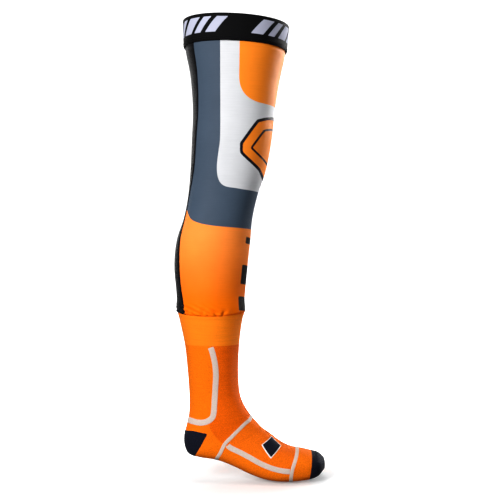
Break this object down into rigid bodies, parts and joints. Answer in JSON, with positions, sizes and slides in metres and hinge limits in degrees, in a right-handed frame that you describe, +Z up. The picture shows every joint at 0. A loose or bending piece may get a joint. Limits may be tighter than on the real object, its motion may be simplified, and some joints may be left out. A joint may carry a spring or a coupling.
{
  "type": "knee brace sock",
  "caption": "Thigh-high motocross knee-brace sock for the right leg: printed stretch sleeve on an elastic band, joined to a cushioned knitted sock.",
  "frame": {"origin": "middle of the thigh opening, where the leg goes in", "axes": "+Z up the leg, +X towards the toes, -Y the outer side of the right leg"},
  "size_m": [0.2706, 0.1642, 0.8238],
  "materials": {
    "elastic": "woven elastic, matte",
    "print_front": "sublimation-printed stretch knit, soft sheen",
    "back_stretch": "plain black stretch knit, soft sheen",
    "thread": "flatlock thread",
    "orange_thread": "overlock thread",
    "silicone": "clear grip silicone",
    "label": "woven satin label",
    "cuff_knit": "fine rib knit",
    "orange_knit": "plain knit",
    "stripe_knit": "plain knit",
    "navy_knit": "reinforced knit",
    "terry": "terry loops"
  },
  "bodies": {
    "thigh": {"thigh_band": "elastic", "grip_strip_1": "silicone", "grip_strip_2": "silicone", "grip_strip_3": "silicone", "band_join": "thread", "band_stitching": "thread", "size_label": "label", "thigh_front_panel": "print_front", "thigh_back_panel": "back_stretch", "thigh_outer_seam": "thread", "thigh_inner_seam": "thread"},
    "shank": {"knee_front_panel": "print_front", "knee_back_panel": "back_stretch", "knee_outer_seam": "thread", "knee_inner_seam": "thread", "calf_front_panel": "print_front", "calf_back_panel": "back_stretch", "calf_outer_seam": "thread", "calf_inner_seam": "thread", "sleeve_hem": "print_front", "hem_stitching": "orange_thread", "sock_cuff": "cuff_knit", "sock_leg": "orange_knit", "leg_outer_stripe": "stripe_knit", "leg_inner_stripe": "stripe_knit", "achilles_cushion": "terry"},
    "foot": {"sock_ankle": "orange_knit", "ankle_stripe": "stripe_knit", "sock_heel": "navy_knit", "sock_instep": "orange_knit", "sock_arch": "orange_knit", "instep_stripe": "stripe_knit", "foot_outer_stripe": "stripe_knit", "foot_inner_stripe": "stripe_knit", "heel_cushion": "terry", "sole_cushion": "terry", "foot_badge": "navy_knit"},
    "toes": {"sock_ball": "orange_knit", "ball_outer_stripe": "stripe_knit", "ball_inner_stripe": "stripe_knit", "toe_band": "orange_knit", "toe_stripe": "stripe_knit", "sock_toe": "navy_knit", "toe_seam": "navy_knit", "toe_cushion": "terry"}
  },
  "joints": [
    {"name": "knee_flex", "type": "hinge", "parent": "thigh", "child": "shank", "pos_m": [-0.025, 0, -0.315], "axis": [0, 1, 0], "range_deg": [-5, 105], "deforming": ["knee_front_panel", "knee_back_panel", "knee_outer_seam", "knee_inner_seam"]},
    {"name": "ankle_flex", "type": "hinge", "parent": "shank", "child": "foot", "pos_m": [-0.042, 0, -0.7], "axis": [0, 1, 0], "range_deg": [-30, 30], "deforming": ["sock_ankle", "ankle_stripe"]},
    {"name": "toe_flex", "type": "hinge", "parent": "foot", "child": "toes", "pos_m": [0.084, 0, -0.788], "axis": [0, 1, 0], "range_deg": [-35, 15], "deforming": ["sock_ball", "ball_outer_stripe", "ball_inner_stripe"]}
  ]
}
